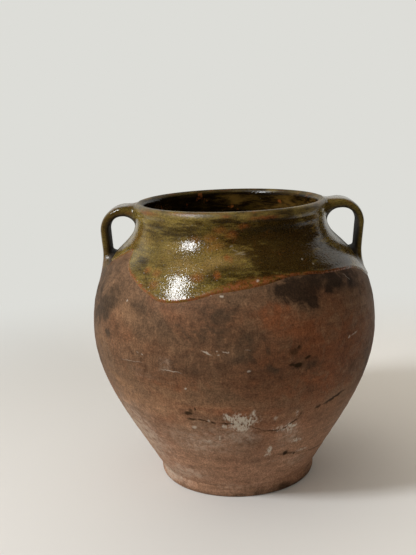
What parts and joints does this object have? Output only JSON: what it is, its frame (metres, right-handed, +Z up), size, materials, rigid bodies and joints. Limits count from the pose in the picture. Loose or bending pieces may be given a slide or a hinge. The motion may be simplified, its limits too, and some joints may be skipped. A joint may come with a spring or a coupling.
{
  "type": "two-handled pot",
  "caption": "Round-bellied storage pot with a short neck, wide mouth and a strap handle on each side, in bare terracotta with olive-brown glaze over the shoulder and inside.",
  "frame": {"origin": "centre of the flat base, on the surface that the pot stands on", "axes": "+Z up through the mouth, +X towards the right handle and -X towards the left handle, -Y towards the front"},
  "size_m": [0.302, 0.302, 0.3],
  "materials": {
    "terracotta": "matt, smoked and lime-stained",
    "handle_glaze": "glossy, worn on the edges",
    "outer_glaze": "glossy, mottled olive and rust",
    "inner_glaze": "glossy, dark brown with rust spots"
  },
  "bodies": {
    "root": {"pot_body": "terracotta", "handle_left": "handle_glaze", "handle_right": "handle_glaze", "glaze_outside": "outer_glaze", "glaze_inside": "inner_glaze"}
  },
  "joints": []
}
